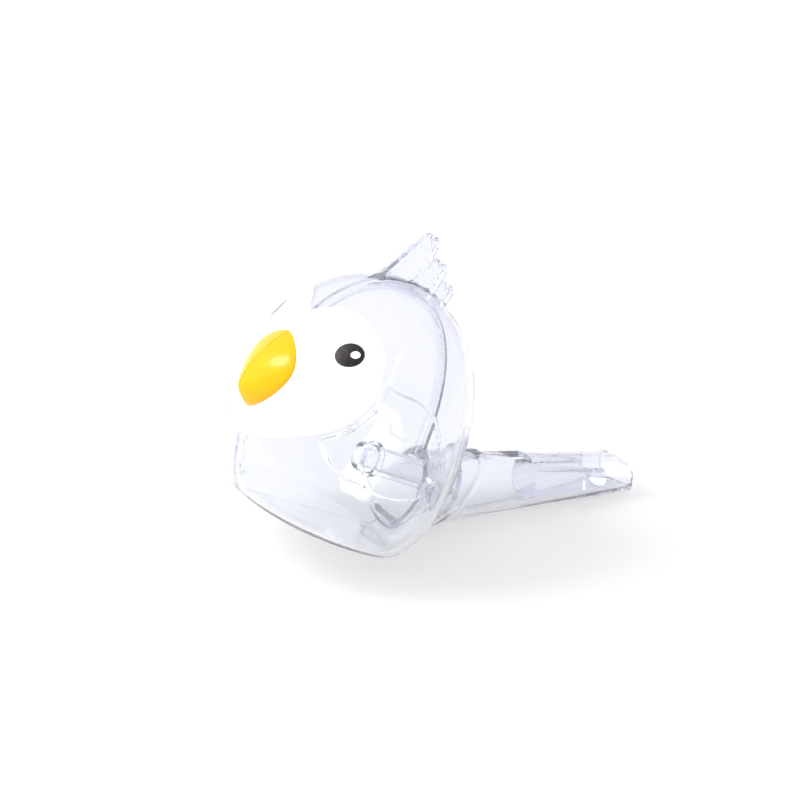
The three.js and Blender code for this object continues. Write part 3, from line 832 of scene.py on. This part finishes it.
def beak_height(points):
    z, y = points[:, 2], np.abs(points[:, 1])
    t = (z - BEAK_FULLEST) / (np.where(z > BEAK_FULLEST, BEAK_TOP, BEAK_BOTTOM) - BEAK_FULLEST)
    across = np.clip(y / np.maximum(beak_half_width(z), 0.4), 0, 1)
    fall = np.maximum(1 - across ** 1.3, 0) ** 0.8 * np.maximum(1 - np.clip(t, 0, 1) ** 1.9, 0)
    roll = 0.18 * np.clip(1 - (y - SEAM_HALF) / 0.35, 0, 1) ** 2
    return FILM_HIGH + 0.3 + (BEAK_BULGE - 0.5) * fall - roll


def beak_half(side, name, replaced):
    turn = np.linspace(0, math.pi, 61)
    z = (BEAK_TOP + BEAK_BOTTOM) / 2 + (BEAK_TOP - BEAK_BOTTOM) / 2 * np.cos(turn)
    seam_z = np.linspace(BEAK_BOTTOM, BEAK_TOP, 48)[1:-1]
    outline = np.concatenate([front_points(np.maximum(beak_half_width(z), SEAM_HALF), z, side),
                              front_points(SEAM_HALF, seam_z, side)])
    sheet = disc_sheet(outline, front_points(3.4, 29.0, side), FILM_HIGH + 0.01, beak_height, 34)
    return new_piece(name, *sheet, YELLOW, "yellow_paint", replaced, 50.0)


beak_half(1, "left_beak", "beak_left")
beak_half(-1, "right_beak", "beak_right")

# %% [markdown]
# ## Eyes
# Each eye is a printed oval of black with a small white dot. All four are films that follow the face,
# so one Geometry Nodes tree makes them: it bends a grid into an oval held off the face, drops it on
# the moulded half with rays, lifts it by the film's height and thickens it. The films are thinner
# than the CAD's and lie lower. Their middles sit 0.4 mm higher up the face and 0.35 mm nearer the seam.

# %% Eyes and glints
BLACK = paint("black_eye_paint", (0.008, 0.005, 0.003), 0.30, (0.06, 0.045, 0.036), gloss=0.3)
GLINT = paint("glint_paint", (0.95, 0.94, 0.93), 0.3, (0.9, 0.86, 0.85))
DOT_SIZES = ["Long", "Short", "Roll", "Height", "Thickness"]
DOTS = [("eye", 18.25, 39.9, 3.3, 2.75, 20.0, 0.17, 0.08, BLACK, "black_paint", "eye"),
        ("glint", 19.15, 40.4, 1.1, 0.85, 20.0, 0.26, 0.07, GLINT, "glint_paint", "eye_glint")]


def dot_tree(material, half):
    """The tree that lays an oval film of paint on one half of the body."""
    words = [("Middle", "Vector"), ("Across", "Vector"), ("Upward", "Vector"), ("Outward", "Vector")]
    tree, given, outputs = new_tree("painted_dot", words + [(word, "Float") for word in DOT_SIZES])
    grid, far, cosine, sine = polar_grid(tree, 14, 73)
    long = combine(tree, "MULTIPLY", combine(tree, "MULTIPLY", far, given["Long"]), cosine)
    short = combine(tree, "MULTIPLY", combine(tree, "MULTIPLY", far, given["Short"]), sine)
    turn = add_node(tree, "ShaderNodeVectorRotate", {
        "Vector": add_node(tree, "ShaderNodeCombineXYZ", {"X": long, "Y": short})[0],
        "Angle": given["Roll"]}, rotation_type="Z_AXIS")
    across, upward, _ = add_node(tree, "ShaderNodeSeparateXYZ", {0: turn[0]})
    scaled = lambda vector, by: add_node(
        tree, "ShaderNodeVectorMath", {0: vector, "Scale": by}, operation="SCALE")[0]
    plus = lambda a, b: add_node(tree, "ShaderNodeVectorMath", {0: a, 1: b}, operation="ADD")[0]
    flat = plus(given["Middle"], plus(scaled(given["Across"], across), scaled(given["Upward"], upward)))
    above = plus(flat, scaled(given["Outward"], 6.0))
    face = add_node(tree, "GeometryNodeObjectInfo", {"Object": half})["Geometry"]
    ray = add_node(tree, "GeometryNodeRaycast", {
        "Target Geometry": face, "Source Position": scaled(above, MM),
        "Ray Direction": scaled(given["Outward"], -1.0), "Ray Length": 0.02})
    landed = plus(scaled(ray["Hit Position"], 1 / MM), scaled(given["Outward"], given["Height"]))
    film = add_node(tree, "GeometryNodeSetPosition", {"Geometry": grid, "Position": landed})[0]
    film = add_node(tree, "GeometryNodeMergeByDistance", {"Geometry": film, "Distance": 0.002})[0]
    raised = add_node(tree, "GeometryNodeExtrudeMesh", {
        "Mesh": film, "Offset": given["Outward"], "Offset Scale": given["Thickness"], "Individual": False})[0]
    under = add_node(tree, "GeometryNodeFlipFaces", {"Mesh": film})[0]
    solid = add_node(tree, "GeometryNodeJoinGeometry")
    tree.links.new(raised, solid[0].node.inputs[0])
    tree.links.new(under, solid[0].node.inputs[0])
    finish_tree(tree, solid[0], material, outputs)
    return tree


# %% Make the eyes and glints


def painted_dot(side_word, side, dot):
    word, y, z, long, short, roll, height, thickness, material, slot_name, node = dot
    middle, normal = on_body(front_points(y, z, side)[None])
    middle, out = to_table(middle[0]) / MM, turn_back(normal[0])
    level = np.cross(turn_back(np.array([0.0, 0.0, 1.0])), out)
    level *= side / np.linalg.norm(level)
    upward = np.cross(out, level) * side
    values = {"Middle": list(middle), "Across": list(level), "Upward": list(upward),
              "Outward": list(out), "Long": long, "Short": short, "Roll": math.radians(roll),
              "Height": height, "Thickness": thickness}
    tree = dot_tree(material, bpy.data.objects[f"{side_word}_half"])
    points, faces = run_tree(tree, bpy.data.meshes.new("dot_start"), values)
    name, replaced = f"{side_word}_{word}", f"{node}_{side_word}"
    return new_piece(name, to_bird(points), faces, material, slot_name, replaced)


for side_word, side in (("left", 1), ("right", -1)):
    for dot in DOTS:
        painted_dot(side_word, side, dot)

# %% [markdown]
# ## Studio
# Clear plastic needs white all round to refract. The floor glows a little, like a light table, so no
# dark patch shows through the walls. The wide key light from the left casts the soft shadow and is
# kept out of reflections; the small second light puts the highlights on the beak and the eyes.

# %% Floor and light
floor_mesh = bpy.data.meshes.new("floor")
reach = 6.0
corners = [(-reach, -reach, 0), (reach, -reach, 0), (reach, reach, 0), (-reach, reach, 0)]
floor_mesh.from_pydata(corners, [], [(0, 1, 2, 3)])
floor_material, nodes, links, shader = new_material("pale_floor")
shader.inputs["Base Color"].default_value = (0.42, 0.41, 0.385, 1)
shader.inputs["Emission Color"].default_value = (1, 1, 1, 1)
shader.inputs["Emission Strength"].default_value = 0.53
shader.inputs["Roughness"].default_value = 0.6
shader.inputs["Specular IOR Level"].default_value = 0.2
floor_mesh.materials.append(floor_material)
floor = bpy.data.objects.new("floor", floor_mesh)
bpy.context.scene.collection.objects.link(floor)

# %% Directions and lamps
VIEW_YAW, VIEW_RISE = math.radians(26.1), math.radians(20.7)
toward_camera = Vector((math.sin(VIEW_YAW), math.cos(VIEW_YAW), 0))
camera_right = Vector((-math.cos(VIEW_YAW), math.sin(VIEW_YAW), 0))


def sun(name, from_direction, strength, angle, color=(1, 1, 1)):
    light = bpy.data.lights.new(name, "SUN")
    light.energy = strength
    light.angle = math.radians(angle)
    light.color = color
    lamp = bpy.data.objects.new(name, light)
    lamp.rotation_euler = from_direction.to_track_quat("Z", "Y").to_euler()
    bpy.context.scene.collection.objects.link(lamp)
    return lamp


key_from = (-camera_right - 0.1 * toward_camera + Vector((0, 0, 0.6))).normalized()
key = sun("key", key_from, 2.2, 44)
key.visible_glossy = False
spark_from = (-0.62 * camera_right + Vector((0, 0, 0.76))).normalized()
sun("spark", spark_from, 0.9, 20)

# %% Sky
world = bpy.data.worlds.new("studio")
bpy.context.scene.world = world
world.use_nodes = True
nodes, links = world.node_tree.nodes, world.node_tree.links
place = nodes.new("ShaderNodeTexCoord")
facing = nodes.new("ShaderNodeVectorMath")
facing.operation = "DOT_PRODUCT"
facing.inputs[1].default_value = toward_camera
links.new(place.outputs["Generated"], facing.inputs[0])
ramp = nodes.new("ShaderNodeValToRGB")
ramp.color_ramp.elements[0].position = 0.0
ramp.color_ramp.elements[0].color = (0.88, 0.89, 0.98, 1)
ramp.color_ramp.elements[1].position = 0.85
ramp.color_ramp.elements[1].color = (0.80, 0.82, 0.98, 1)
links.new(facing.outputs["Value"], ramp.inputs["Fac"])
links.new(ramp.outputs["Color"], nodes["Background"].inputs["Color"])
nodes["Background"].inputs["Strength"].default_value = 1.0

# %% Camera
FOCAL_PX, SCALE_PX = 1900.0, 4.45
camera_data = bpy.data.cameras.new("camera")
camera_data.sensor_width = 36.0
camera_data.lens = FOCAL_PX / 800 * 36.0
camera_data.shift_x, camera_data.shift_y = 0.0483, 0.0039
camera_data.clip_start, camera_data.clip_end = 0.01, 50
camera = bpy.data.objects.new("camera", camera_data)
look_at = Vector(to_table(np.array([0.0, 0.0, 28.0])))
line_of_sight = (toward_camera * math.cos(VIEW_RISE) + Vector((0, 0, math.sin(VIEW_RISE)))).normalized()
camera.location = look_at + line_of_sight * (FOCAL_PX / SCALE_PX * MM)
camera.rotation_euler = line_of_sight.to_track_quat("Z", "Y").to_euler()
bpy.context.scene.collection.objects.link(camera)
bpy.context.scene.camera = camera
print("camera at", [round(v, 3) for v in camera.location], "with a", round(camera_data.lens, 1), "mm lens")

# %% How light is followed
bpy.context.scene.view_settings.view_transform = "Standard"
bpy.context.scene.cycles.max_bounces = 48
bpy.context.scene.cycles.transmission_bounces = 48
bpy.context.scene.cycles.glossy_bounces = 32
bpy.context.scene.cycles.diffuse_bounces = 8
